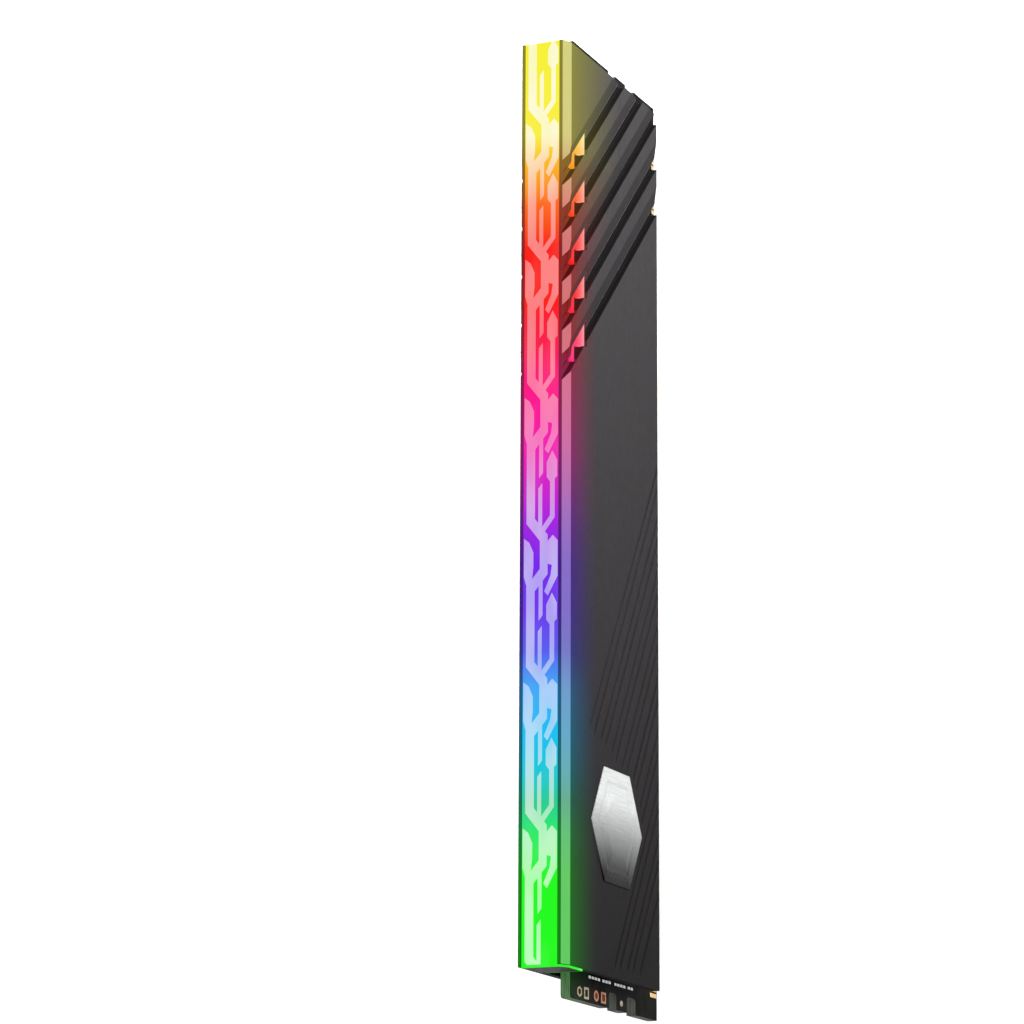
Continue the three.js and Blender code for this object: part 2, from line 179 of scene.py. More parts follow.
def new_finish(name, colour, roughness, metallic=0.0, specular=0.5):
    """A material, its nodes and its shader, with the constant values set on the shader."""
    finish = bpy.data.materials.new(name)
    finish.use_nodes = True
    shader = finish.node_tree.nodes["Principled BSDF"]
    shader.inputs["Base Color"].default_value = (*colour, 1)
    shader.inputs["Roughness"].default_value = roughness
    shader.inputs["Metallic"].default_value = metallic
    shader.inputs["Specular IOR Level"].default_value = specular
    return finish, finish.node_tree, shader


def node(tree, kind, **settings):
    """Adds a shader node of a kind to a tree, with its settings."""
    made = tree.nodes.new("ShaderNode" + kind)
    for key, value in settings.items():
        setattr(made, key, value)
    return made


def feed(tree, value, socket):
    """Puts a number or a colour on a socket, or joins another socket to it."""
    if isinstance(value, tuple):
        socket.default_value = (*value, 1) if len(socket.default_value) == 4 else value
    elif isinstance(value, (int, float)):
        socket.default_value = value
    else:
        tree.links.new(value, socket)


def position(tree):
    """The object position, and its x, y and z apart."""
    place = node(tree, "TexCoord")
    parts = node(tree, "SeparateXYZ")
    tree.links.new(place.outputs["Object"], parts.inputs[0])
    return place.outputs["Object"], parts.outputs


def ranged(tree, value, low, high, to_low=0.0, to_high=1.0):
    """The value moved from one range to another, and held inside it."""
    made = node(tree, "MapRange", clamp=True)
    tree.links.new(value, made.inputs["Value"])
    made.inputs["From Min"].default_value = low
    made.inputs["From Max"].default_value = high
    made.inputs["To Min"].default_value = to_low
    made.inputs["To Max"].default_value = to_high
    return made.outputs["Result"]


def maths(tree, operation, a, b):
    made = node(tree, "Math", operation=operation)
    feed(tree, a, made.inputs[0])
    feed(tree, b, made.inputs[1])
    return made.outputs[0]


def vector_maths(tree, operation, a, b):
    made = node(tree, "VectorMath", operation=operation)
    feed(tree, a, made.inputs[0])
    feed(tree, b, made.inputs["Scale"] if operation == "SCALE" else made.inputs[1])
    return made.outputs[0]


def mix_colour(tree, amount, first, second):
    """Blends two colours, given as values or as sockets."""
    made = node(tree, "Mix", data_type="RGBA")
    for key, value in (("Factor", amount), ("A", first), ("B", second)):
        feed(tree, value, [s for s in made.inputs if s.name == key and s.enabled][0])
    return [s for s in made.outputs if s.enabled][0]


def grain(tree, scale, detail=4.0, roughness=0.5):
    """Noise with a number of grains per metre on each axis: a small one draws it out."""
    place, _ = position(tree)
    stretch = node(tree, "Mapping")
    stretch.inputs["Scale"].default_value = scale
    cloud = node(tree, "TexNoise")
    cloud.inputs["Scale"].default_value = 1.0
    cloud.inputs["Detail"].default_value = detail
    cloud.inputs["Roughness"].default_value = roughness
    tree.links.new(place, stretch.inputs["Vector"])
    tree.links.new(stretch.outputs["Vector"], cloud.inputs["Vector"])
    return cloud.outputs["Fac"]


def glow(tree, shader, colour, strength=1.0):
    """Makes the shader give off a colour by itself."""
    tree.links.new(colour, shader.inputs["Emission Color"])
    shader.inputs["Emission Strength"].default_value = strength


def even(count):
    """The same number of grains per metre on each axis."""
    return (count, count, count)


def add_bump(tree, shader, height, strength, depth):
    bump = node(tree, "Bump")
    bump.inputs["Strength"].default_value = strength
    bump.inputs["Distance"].default_value = depth
    tree.links.new(height, bump.inputs["Height"])
    tree.links.new(bump.outputs["Normal"], shader.inputs["Normal"])


def vary(tree, shader, socket, amount, low, high):
    """Lets a number wander between two values over the surface."""
    tree.links.new(ranged(tree, amount, 0.3, 0.7, low, high), shader.inputs[socket])


def speckled_finish(name, dark, light, roughness, scale, metallic=0.0, specular=0.5, bump=0.3):
    """The common case: two shades mixed by a grain that also roughens the surface."""
    finish, tree, shader = new_finish(name, dark, roughness[0], metallic, specular)
    speckle = grain(tree, scale)
    colour = mix_colour(tree, ranged(tree, speckle, 0.35, 0.68), dark, light)
    tree.links.new(colour, shader.inputs["Base Color"])
    vary(tree, shader, "Roughness", speckle, *roughness)
    add_bump(tree, shader, speckle, bump, GRAIN_DEPTH)
    return finish


print("material helpers ready")

# %% [markdown]
# ## Colour along the light bar
#
# The bar runs from yellow at one end through red, violet and blue to green at the other.
# A colour ramp over the distance along X carries this best, because the same ramp can
# then tint everything the light touches: the bar, its white print, the chamfers and the
# metal beside it. Each row of the table gives a place in millimetres from the middle of
# the card, the deep colour of the lit plastic there in the usual hexadecimal form, and
# how much white the print adds to it.

# %% Rainbow ramps
BAR_REACH = 64.0 * MM
RAINBOW = [
    (63, "f6f132", 0.60),
    (50, "f9ee42", 0.60),
    (46, "fab91f", 0.44),
    (40, "fd6710", 0.26),
    (34, "fa1a0e", 0.22),
    (26, "fc150c", 0.20),
    (20, "fb184e", 0.21),
    (14, "fc0c86", 0.20),
    (6, "f210b0", 0.18),
    (0, "cb1dcb", 0.30),
    (-4, "a620df", 0.36),
    (-10, "7820ea", 0.38),
    (-17, "6c38ee", 0.38),
    (-22, "555cee", 0.38),
    (-27, "38a8f7", 0.34),
    (-33, "10bff2", 0.38),
    (-38, "0fc9d6", 0.41),
    (-42, "27cc92", 0.44),
    (-46, "24ea66", 0.44),
    (-52, "1ef918", 0.44),
]


def linear_colour(code):
    """A hexadecimal colour as the linear numbers that shaders use."""
    values = [int(code[i:i + 2], 16) / 255 for i in (0, 2, 4)]
    return tuple(v / 12.92 if v <= 0.04045 else ((v + 0.055) / 1.055) ** 2.4 for v in values)


def ramp_along(tree, spots, shift=0.0):
    """A ramp over the distance along the module, from pairs of place and colour."""
    _, parts = position(tree)
    along = ranged(tree, maths(tree, "SUBTRACT", parts[0], shift), -BAR_REACH, BAR_REACH)
    ramp = node(tree, "ValToRGB")
    elements = ramp.color_ramp.elements
    ordered = sorted(((x * MM + BAR_REACH) / (2 * BAR_REACH), colour) for x, colour in spots)
    elements[0].position, elements[0].color = ordered[0][0], (*ordered[0][1], 1)
    elements[1].position, elements[1].color = ordered[-1][0], (*ordered[-1][1], 1)
    for place, colour in ordered[1:-1]:
        elements.new(place).color = (*colour, 1)
    tree.links.new(along, ramp.inputs["Fac"])
    return ramp.outputs["Color"]


def deep_colour(tree, shift=0.0):
    """The lit plastic's colour, if wanted moved along the module."""
    return ramp_along(tree, [(x, linear_colour(code)) for x, code, _ in RAINBOW], shift)


def whiteness(tree):
    """How much white the print adds."""
    return ramp_along(tree, [(x, (share, share, share)) for x, _, share in RAINBOW])


print("rainbow rows:", len(RAINBOW))

# %% [markdown]
# ## Tools for pieces
#
# A piece could be modelled about its own centre and then moved. Here the points of each
# mesh are already in the module's place, so every object stays at the origin and one
# grain size fits all. One helper turns a bmesh into a piece that rides with the card. The
# others copy a solid and clear away the triangle lines on its flat faces, round sharp
# edges a little (real edges always catch some light), and add boxes, drums and balls to
# a mesh that holds many small shapes.

# %% Piece helpers
WELD = 0.002 * MM
FLAT_WITHIN = math.radians(0.6)
BEVEL_ROUNDNESS = 0.6


def finish_piece(name, bm, finishes, replaced=()):
    """Makes an object from a bmesh, lets it ride, and hides the solids it stands for."""
    mesh = bpy.data.meshes.new(name)
    bm.to_mesh(mesh)
    bm.free()
    for finish in finishes:
        mesh.materials.append(finish)
    piece = bpy.data.objects.new(name, mesh)
    bpy.context.scene.collection.objects.link(piece)
    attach(piece, "root")
    if replaced:
        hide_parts(*replaced)
    return piece


def node_box(name):
    """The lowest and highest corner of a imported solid, as two vectors."""
    place = cad_nodes[name].matrix_world
    points = [place @ v.co for v in cad_nodes[name].data.vertices]
    low = Vector([min(p[i] for p in points) for i in range(3)])
    high = Vector([max(p[i] for p in points) for i in range(3)])
    return low, high


def copy_solid(name):
    """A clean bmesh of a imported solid, with flat faces whole again."""
    bm = bmesh.new()
    bm.from_mesh(cad_nodes[name].data)
    bm.transform(cad_nodes[name].matrix_world)
    bmesh.ops.remove_doubles(bm, verts=bm.verts, dist=WELD)
    bmesh.ops.dissolve_limit(
        bm, angle_limit=FLAT_WITHIN, verts=bm.verts, edges=bm.edges, use_dissolve_boundaries=False
    )
    return bm


def bevel_edges(bm, edges, width, segments, profile=BEVEL_ROUNDNESS, clamp=False):
    """Rounds some edges, and counts them."""
    count = len(edges)
    bmesh.ops.bevel(
        bm, geom=edges, offset=width, segments=segments, profile=profile,
        affect="EDGES", clamp_overlap=clamp
    )
    return count


def round_edges(bm, width, sharper_than=25.0, segments=2):
    """Bevels every edge that turns by more than an angle in degrees."""
    limit = math.radians(sharper_than)
    edges = [e for e in bm.edges if len(e.link_faces) == 2 and e.calc_face_angle(0) > limit]
    return bevel_edges(bm, edges, width, segments)


def paint_new(bm, before, index):
    """Gives every face made since a count was taken the same finish."""
    bm.faces.ensure_lookup_table()
    for face in bm.faces[before:]:
        face.material_index = index


def block(bm, low, high, bevel=0.0, index=0, segments=2):
    """A box between two corners, with rounded edges if wanted."""
    low, high = Vector(low), Vector(high)
    corners = bmesh.ops.create_cube(bm, size=1.0)["verts"]
    for v in corners:
        v.co = Vector([(low[i] + high[i]) / 2 + v.co[i] * (high[i] - low[i]) for i in range(3)])
    for face in {f for v in corners for f in v.link_faces}:
        face.material_index = index
    if bevel:
        edges = list({e for v in corners for e in v.link_edges})
        bevel_edges(bm, edges, bevel, segments, clamp=True)


def drum(bm, centre, radius, thick, index=0, sides=16):
    """A short round disc, a little tapered, that lies flat against the card: its axis is Y."""
    before = len(bm.faces)
    turn = Matrix.Translation(centre) @ Matrix.Rotation(math.radians(90), 4, "X")
    top = radius * 0.92
    bmesh.ops.create_cone(
        bm, cap_ends=True, segments=sides, radius1=radius, radius2=top, depth=thick, matrix=turn
    )
    paint_new(bm, before, index)


def ball(bm, centre, radius, index=0):
    """A small round ball, such as a drop of solder."""
    before = len(bm.faces)
    place = Matrix.Translation(centre)
    bmesh.ops.create_uvsphere(bm, u_segments=8, v_segments=6, radius=radius, matrix=place)
    paint_new(bm, before, index)


print("piece helpers ready")

# %% [markdown]
# ## Heat spreader sheets
#
# Each sheet is aluminium, blasted and anodised to a dark satin grey. Five steps run
# diagonally across one end, and fine stripes are engraved near the badge. The sheet could
# be bent up from a flat strip and cut, but the imported solid already has its shape, so the
# piece is a copy of it with softened edges.
#
# The sheet gets six finishes, all from one recipe with a fine grain drawn out along X,
# and each gives off a painted glow of the bar's colour. The grey of the metal is also
# painted darker towards the badge end, as painted shade. On the broad face the painted
# glow is strongest near the bar and fades out over one to two centimetres. The chamfer
# faces the bar's light and gets a stronger painted glow with a pale one on top, while the
# narrow land at the very top stays dark. On the steps the slots and their walls get a dark
# painted shade, the sloping facets a lighter one, and the thin ridge between the two a
# painted highlight. The faces are sorted by the way they look: the chamfer, for one, is
# the only face that slopes both outwards and upwards.

# %% Sheet finishes
CHAMFER_BOTTOM = 38.4 * MM
GLOW_REACH = 9.4 * MM
FAR_GLOW_REACH = 18.0 * MM
SHEET_REACH = 63.35 * MM
GLOW_WIDENS = (30 * MM, 50 * MM)
GLOW_POWER = 1.5
FAR_END_LIT_GREY = (0.027, 0.025, 0.0265)
BADGE_END_SHADED_GREY = (0.0075, 0.007, 0.0075)
BLAST_GRAINS = (900, 4200, 4200)
BLOTCH_GRAINS = (60, 140, 140)


def spreader_metal(name, painted_glow_strength, fades=False, pale_painted_glow=0.0, shade=1.0, metallic=0.10):
    """Dark anodised aluminium with a painted glow of the light bar's colour, and a pale painted glow
    if wanted.
    """
    finish, tree, shader = new_finish(name, BADGE_END_SHADED_GREY, 0.46, metallic=metallic, specular=0.0)
    _, parts = position(tree)
    blast = grain(tree, BLAST_GRAINS, detail=5.0, roughness=0.65)
    blotch = grain(tree, BLOTCH_GRAINS, detail=2.0)
    along = ranged(tree, parts[0], -SHEET_REACH, SHEET_REACH)
    # Painted shade: the grey darkens from the far end towards the badge end.
    metal = mix_colour(tree, along, BADGE_END_SHADED_GREY, FAR_END_LIT_GREY)
    fine, coarse = maths(tree, "MULTIPLY", blast, 0.7), maths(tree, "MULTIPLY", blotch, 0.3)
    cloud = maths(tree, "ADD", fine, coarse)
    # The shade factor scales the grey: below one it is painted shade, above one a painted highlight.
    mottle = ranged(tree, cloud, 0.34, 0.66, 0.82 * shade, 1.18 * shade)
    metal = vector_maths(tree, "SCALE", metal, mottle)
    light = deep_colour(tree)
    # Painted glow of the bar's light, strongest at the foot of the chamfer and fading downwards; the
    # grey is darkened where it is strongest.
    if fades:
        reach = ranged(tree, parts[0], *GLOW_WIDENS, GLOW_REACH, FAR_GLOW_REACH)
        depth = maths(tree, "DIVIDE", maths(tree, "SUBTRACT", CHAMFER_BOTTOM, parts[2]), reach)
        near = maths(tree, "POWER", ranged(tree, depth, 1.0, 0.0), GLOW_POWER)
        metal = vector_maths(tree, "SCALE", metal, ranged(tree, near, 0, 1, 1.0, 0.35))
        strength = maths(tree, "MULTIPLY", near, ranged(tree, along, 0.1, 0.4, 0.55, 1.0))
        light = vector_maths(tree, "SCALE", light, maths(tree, "MULTIPLY", strength, painted_glow_strength))
    else:
        # An even painted glow of the bar's colour over the whole finish.
        light = vector_maths(tree, "SCALE", light, painted_glow_strength)
    # A pale painted glow added on top.
    if pale_painted_glow:
        light = vector_maths(tree, "ADD", light, (pale_painted_glow, pale_painted_glow, pale_painted_glow))
    tree.links.new(metal, shader.inputs["Base Color"])
    glow(tree, shader, light)
    vary(tree, shader, "Roughness", blotch, 0.4, 0.52)
    add_bump(tree, shader, blast, 0.3, 0.02 * MM)
    return finish


# Every sheet finish gives off a painted glow of the bar's colour.
sheet_face = spreader_metal("anodised_face", 0.24, fades=True)
sheet_chamfer = spreader_metal("anodised_chamfer_painted_glow", 0.50, pale_painted_glow=0.10)
sheet_land = spreader_metal("anodised_land_painted_glow", 0.24, shade=0.3, metallic=0.0)
# Painted shade in the slots.
slot_shade = spreader_metal("anodised_slot_painted_shade", 0.09, fades=True, shade=0.30, metallic=0.0)
# Painted highlight on the ridges: five times the grey.
ridge_with_painted_highlight = spreader_metal("anodised_ridge_painted_highlight", 0.24, fades=True, shade=5.0)
# Painted shade on the sloping facets.
facet_with_painted_shade = spreader_metal("anodised_facet_painted_shade", 0.16, fades=True, shade=0.60)
sheet_finishes = [sheet_face, sheet_chamfer, sheet_land, slot_shade, ridge_with_painted_highlight, facet_with_painted_shade]
print("sheet finishes:", [finish.name for finish in sheet_finishes])

# %% Sheets
FACE, CHAMFER, LAND, SLOT, RIDGE, FACET = range(6)
LAND_TOP = 39.9 * MM
GAP_FLOOR = 3.05 * MM
RIDGE_WIDTH = 0.16 * MM
RIDGE_FOOT = 3.02 * MM
SHEET_ROUNDING = 0.07 * MM


def sort_sheet_faces(bm):
    """Gives the chamfer, the land with its gaps, the slots and the facets their finish: the slots get
    painted shade and the facets a lighter painted shade.
    """
    for face in bm.faces:
        middle, way = face.calc_center_median(), face.normal
        sloping = way.z > 0.25 and abs(way.y) > 0.6 and abs(way.x) < 0.05
        outward = way.y * middle.y > 0.9 * abs(middle.y)
        diagonal = abs(way.x - way.z) < 0.03
        if sloping and middle.z > CHAMFER_BOTTOM:
            face.material_index = CHAMFER
        elif middle.z > CHAMFER_BOTTOM and (middle.z > LAND_TOP or abs(middle.y) < GAP_FLOOR):
            face.material_index = LAND
        # Slots, and the diagonal walls beside them, get painted shade.
        elif (outward and abs(middle.y) < GAP_FLOOR) or (diagonal and abs(way.x) > 0.6):
            face.material_index = SLOT
        # Facets get a lighter painted shade.
        elif diagonal and -0.2 < way.x < -0.05:
            face.material_index = FACET


def round_ridges(bm):
    """The ridge between each facet and its slot is rounder than the other edges."""
    edges = [e for e in bm.edges if {f.material_index for f in e.link_faces} == {SLOT, FACET}]
    return bevel_edges(bm, edges, RIDGE_WIDTH, segments=3, profile=0.5)


def shine_ridges(bm):
    """The rounded ridges get a painted highlight, and the roundings down in a slot get the slot's
    painted shade.
    """
    count = 0
    for face in bm.faces:
        way, height = face.normal, abs(face.calc_center_median().y)
        if abs(way.x - way.z) > 0.05 or face.material_index not in (FACE, SLOT, FACET):
            continue
        if height < RIDGE_FOOT and abs(way.x) > 0.1:
            face.material_index = SLOT
        elif way.x < -0.15 and 0.5 < abs(way.y) < 0.97:
            face.material_index = RIDGE
            count += 1
    return count


def make_sheet(side):
    name = "heat_spreader_" + side
    bm = copy_solid(name)
    sort_sheet_faces(bm)
    ridges = round_ridges(bm)
    count = round_edges(bm, SHEET_ROUNDING)
    bm.normal_update()
    shiny = shine_ridges(bm)
    piece = finish_piece(side + "_sheet", bm, sheet_finishes, [name])
    print(piece.name, "ridges:", ridges, "shiny faces:", shiny, "edges softened:", count)


for side in ("front", "back"):
    make_sheet(side)

# %% [markdown]
# ## Light bar
#
# The bar is a clear moulding with a milky body, lit from below. A thin cap closes its
# badge end, and a strip with five bosses in each of its sides fills the windows of the
# sheets. They could be made as transparent solids with lamps inside, but light then takes
# very long to find its way out. A shader that glows by itself looks much the same from
# outside: the deep ramp under a smooth plastic surface. In the windows the plastic grows
# paler downwards, where it comes closest to the lamps, and the last lamp shows as a soft
# pale spot through the open end. The cap gets a dark finish without glow on its outer
# side, so that only its rim shines.

# %% Light bar finishes
WINDOW_FACE = 2.6 * MM
WINDOW_TOP = 36.3 * MM
WINDOW_LOW = 32.7 * MM
WINDOW_SHIFT = 2.8 * MM
END_FACE = 63.0 * MM
LAMP_HEIGHT = 34.2 * MM
LAMP_REACH = 5.0 * MM
LAMP_WHITENESS = 0.8


def end_lamp(tree, parts):
    """How strongly the last lamp shows through the bar's open end: 1 in front of the lamp."""
    rise = maths(tree, "SUBTRACT", parts[2], LAMP_HEIGHT)
    across = maths(tree, "MULTIPLY", parts[1], parts[1])
    squares = maths(tree, "ADD", across, maths(tree, "MULTIPLY", rise, rise))
    near = ranged(tree, maths(tree, "SQRT", squares, 0.0), LAMP_REACH, 0.0)
    at_end = maths(tree, "GREATER_THAN", parts[0], END_FACE)
    return maths(tree, "MULTIPLY", maths(tree, "POWER", near, 1.6), at_end)


def lit_plastic(name, printed):
    """Glowing plastic: the deep colour, or the paler one of the white print."""
    finish, tree, shader = new_finish(name, (0.002, 0.002, 0.002), 0.4, specular=0.01)
    _, parts = position(tree)
    cloud = grain(tree, (120, 420, 420), detail=1.0)
    deep = deep_colour(tree)
    if printed:
        share = maths(tree, "MULTIPLY", whiteness(tree), ranged(tree, cloud, 0.35, 0.65, 0.86, 1.14))
    else:
        outside = maths(tree, "GREATER_THAN", maths(tree, "ABSOLUTE", parts[1], 0.0), WINDOW_FACE)
        deep = mix_colour(tree, outside, deep, deep_colour(tree, WINDOW_SHIFT))
        paler = maths(tree, "POWER", ranged(tree, parts[2], WINDOW_TOP, WINDOW_LOW, 0.05, 0.58), 2.0)
        milk = ranged(tree, cloud, 0.45, 0.75, 0.0, 0.025)
        share = maths(tree, "ADD", maths(tree, "MULTIPLY", outside, paler), milk)
        spot = maths(tree, "MULTIPLY", end_lamp(tree, parts), LAMP_WHITENESS)
        share = maths(tree, "ADD", share, spot)
    glow(tree, shader, mix_colour(tree, share, deep, WHITE))
    add_bump(tree, shader, grain(tree, (300, 300, 300), detail=2.0), 0.12, GRAIN_DEPTH)
    return finish


bar_plastic = lit_plastic("lit_bar_plastic", printed=False)
bar_print = lit_plastic("lit_white_print", printed=True)
cap_dark_finish = speckled_finish(
    "cap_dark_outer_finish", (0.006, 0.007, 0.006), (0.012, 0.013, 0.012), (0.5, 0.7), even(2000),
    specular=0.05
)
print("bar finishes:", bar_plastic.name, bar_print.name, cap_dark_finish.name)

# %% Light bar and its print
CAP_SIDE = -63.5 * MM


def make_lit_piece(name, node_name):
    """A glowing copy of a clear solid; a side that faces the badge end gets the dark finish."""
    bm = copy_solid(node_name)
    for face in bm.faces:
        if face.normal.x < -0.9 and face.calc_center_median().x < CAP_SIDE:
            face.material_index = 1
    count = round_edges(bm, 0.05 * MM)
    finish_piece(name, bm, [bar_plastic, cap_dark_finish], [node_name])
    print(name, "edges softened:", count)


def make_print():
    """The white print keeps its outline, with the ink's upper rim rounded off."""
    bm = copy_solid("light_pattern_film")
    count = round_edges(bm, 0.03 * MM, sharper_than=60.0, segments=1)
    finish_piece("bar_print", bm, [bar_print], ["light_pattern_film"])
    print("print edges softened:", count)


make_lit_piece("light_bar", "light_bar_diffuser")
make_lit_piece("bar_end_cap", "light_bar_end_cap")
for side in ("front", "back"):
    make_lit_piece("windows_" + side, "window_light_" + side)
make_print()

# %% [markdown]
# ## Circuit board
#
# The board is black solder mask over copper tracks, on a core of pressed glass cloth that
# shows only along the cut edges. The imported solid has the outline with its key, latch
# notches and ramped card edge. The tracks are too fine to model one by one, so the mask's
# finish raises thin lines with a wave texture, bent a little and broken up by noise. The
# edges get fine plies across the board's thickness. Near the bar, the mask faintly and the
# edges more strongly get a painted glow in the bar's colour.

# %% Board finishes
EDGE_GLOW_START = 24.0 * MM
BOARD_TOP = 31.25 * MM
BAND_LENGTH = 0.314  # metres from band to band when a wave texture's scale is 1


def bands(tree, place, spacing, way):
    """Parallel soft bands across one direction, at a spacing in metres."""
    waves = node(tree, "TexWave", wave_type="BANDS", bands_direction=way, wave_profile="SIN")
    waves.inputs["Scale"].default_value = BAND_LENGTH / spacing
    tree.links.new(place, waves.inputs["Vector"])
    return waves


def track_lines(tree, spacing, way):
    """Thin lines, bent a little and broken into runs by a coarse noise."""
    place, _ = position(tree)
    waves = bands(tree, place, spacing, way)
    waves.inputs["Distortion"].default_value = 1.2
    waves.inputs["Detail"].default_value = 0.0
    thin = ranged(tree, waves.outputs["Fac"], 0.6, 0.8)
    runs = ranged(tree, grain(tree, (90, 220, 420), detail=1.0), 0.42, 0.62)
    return maths(tree, "MULTIPLY", thin, runs)


def painted_bar_glow(tree, strength):
    """Painted glow of the bar's light: its colour, growing towards the top of the board."""
    _, parts = position(tree)
    near = ranged(tree, parts[2], EDGE_GLOW_START, BOARD_TOP, 0.0, strength)
    return vector_maths(tree, "SCALE", deep_colour(tree), near)


def make_mask():
    """Black solder mask over fine raised tracks."""
    finish, tree, shader = new_finish("black_solder_mask", (0.004, 0.004, 0.004), 0.5, specular=0.01)
    straight, slanting = track_lines(tree, 0.45 * MM, "X"), track_lines(tree, 0.4 * MM, "DIAGONAL")
    tracks = maths(tree, "MAXIMUM", straight, slanting)
    colour = mix_colour(tree, tracks, (0.0020, 0.0020, 0.0018), (0.0058, 0.0058, 0.0054))
    tree.links.new(colour, shader.inputs["Base Color"])
    # Faint painted glow of the bar near the board's top.
    glow(tree, shader, painted_bar_glow(tree, 0.02))
    vary(tree, shader, "Roughness", grain(tree, even(400)), 0.42, 0.6)
    add_bump(tree, shader, tracks, 0.4, GRAIN_DEPTH)
    return finish


def make_laminate():
    """The cut edge of pressed glass cloth, with its plies side by side."""
    finish, tree, shader = new_finish("glass_cloth_edge", (0.05, 0.055, 0.04), 0.7, specular=0.02)
    plies = grain(tree, (500, 9000, 500), detail=2.0)
    share = ranged(tree, plies, 0.35, 0.65)
    colour = mix_colour(tree, share, (0.030, 0.034, 0.030), (0.078, 0.084, 0.070))
    tree.links.new(colour, shader.inputs["Base Color"])
    # Painted glow of the bar on the cut edges near the board's top.
    glow(tree, shader, painted_bar_glow(tree, 0.075))
    add_bump(tree, shader, plies, 0.5, 0.04 * MM)
    return finish


solder_mask = make_mask()
laminate = make_laminate()
print("board finishes:", solder_mask.name, laminate.name)

# %% Board
def make_board():
    """The mask covers the two broad faces, and the cut edges show the laminate."""
    bm = copy_solid("circuit_board")
    for face in bm.faces:
        face.material_index = 0 if abs(face.normal.y) > 0.9 else 1
    count = round_edges(bm, 0.04 * MM, sharper_than=50.0)
    finish_piece("board", bm, [solder_mask, laminate], ["circuit_board"])
    print("board edges softened:", count)


make_board()

# %% [markdown]
# ## Edge contacts
#
# The socket touches both faces of the card through gold plated pads, in a long row on
# one side of the key and a short row on the other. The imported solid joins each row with
# a hairline tie, and pads painted on the board would stay flat. So every pad is its own
# small plate with rounded edges, and its lower end follows the ramped card edge. The
# finish has fine marks drawn along Z, as pads get when a card is pushed in.

# %% Contact pads
PAD_PITCH = 0.85 * MM
PAD_WIDTH = 0.6 * MM
EDGE_STEP = 0.5 * MM
PAD_GAP = 0.25 * MM
RAMP_LEFT = (-34.425 * MM, -24.225 * MM)
RAMP_RIGHT = (30.175 * MM, 40.375 * MM)
PLATING_GRAINS = (3000, 3000, 350)

gold_plate = speckled_finish(
    "gold_plate", (0.50, 0.33, 0.13), (0.66, 0.46, 0.20), (0.25, 0.42), PLATING_GRAINS,
    metallic=0.9, bump=0.2
)


def card_edge(x):
    """Height of the card edge: level in the middle, ramped up towards both ends."""
    left = (RAMP_LEFT[1] - x) / (RAMP_LEFT[1] - RAMP_LEFT[0])
    right = (x - RAMP_RIGHT[0]) / (RAMP_RIGHT[1] - RAMP_RIGHT[0])
    return EDGE_STEP * min(1.0, max(0.0, left, right))


def make_contact_row(side, length):
    """One plate for every pad of a row, from its foot up to the row's top."""
    name = "contacts_" + side + "_" + length
    low, high = node_box(name)
    count = round((high.x - low.x - PAD_WIDTH) / PAD_PITCH) + 1
    bm = bmesh.new()
    for i in range(count):
        x = low.x + i * PAD_PITCH
        foot = card_edge(x + PAD_WIDTH / 2) + PAD_GAP
        block(bm, (x, low.y, foot), (x + PAD_WIDTH, high.y, high.z), bevel=0.02 * MM, segments=1)
    piece = finish_piece("gold_pads_" + side + "_" + length, bm, [gold_plate], [name])
    print(piece.name, "pads:", count)


for side in ("front", "back"):
    for length in ("long", "short"):
        make_contact_row(side, length)

# %% [markdown]
# ## Memory chips
#
# Each chip is a moulded black block on a thin green base, which sits on solder balls. The
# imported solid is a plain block, which could only be painted, so the chip is built anew
# inside the same space. The body is a little narrower than its base, with the mould's
# rounded edges and a round mark in one corner for the first pin. The balls stand along
# both long sides, where they can be seen from the card's edge.

# %% Chip finishes and chips
mould_black = speckled_finish(
    "moulding_compound", (0.010, 0.010, 0.011), (0.026, 0.026, 0.028), (0.5, 0.7), even(5000),
    specular=0.3
)
substrate_green = speckled_finish(
    "chip_substrate", (0.012, 0.035, 0.02), (0.02, 0.05, 0.03), (0.4, 0.55), even(2500), specular=0.3
)
solder_tin = speckled_finish(
    "bright_solder", (0.42, 0.42, 0.43), (0.62, 0.62, 0.63), (0.25, 0.4), even(4000),
    metallic=0.9, bump=0.15
)
BALL_PITCH = 0.8 * MM
BALL_RADIUS = 0.11 * MM
SUBSTRATE_THICK = 0.2 * MM


def make_memory_chip(number):
    """A moulded block on a thin green base, on columns of solder balls."""
    name = "dram_chip_" + str(number)
    low, high = node_box(name)
    seat = high.y - 2 * BALL_RADIUS
    bm = bmesh.new()
    block(bm, (low.x, seat - SUBSTRATE_THICK, low.z), (high.x, seat, high.z), bevel=0.03 * MM, index=1)
    inset = 0.06 * MM
    body_low = (low.x + inset, low.y, low.z + inset)
    body_high = (high.x - inset, seat - SUBSTRATE_THICK, high.z - inset)
    block(bm, body_low, body_high, bevel=0.12 * MM, index=0, segments=3)
    drum(bm, Vector((low.x + 0.9 * MM, low.y, high.z - 0.9 * MM)), 0.35 * MM, 0.02 * MM, index=1)
    count = round((high.z - low.z) / BALL_PITCH) - 1
    for side in (low.x + 0.7 * MM, low.x + 1.5 * MM, high.x - 1.5 * MM, high.x - 0.7 * MM):
        for i in range(count):
            z = (low.z + high.z) / 2 + (i - (count - 1) / 2) * BALL_PITCH
            ball(bm, Vector((side, high.y - BALL_RADIUS, z)), BALL_RADIUS, index=2)
    finishes = [mould_black, substrate_green, solder_tin]
    return finish_piece("memory_chip_" + str(number), bm, finishes, [name])


memory_chips = [make_memory_chip(n) for n in range(1, 9)]
print("memory chips:", len(memory_chips), "faces on each:", len(memory_chips[0].data.polygons))

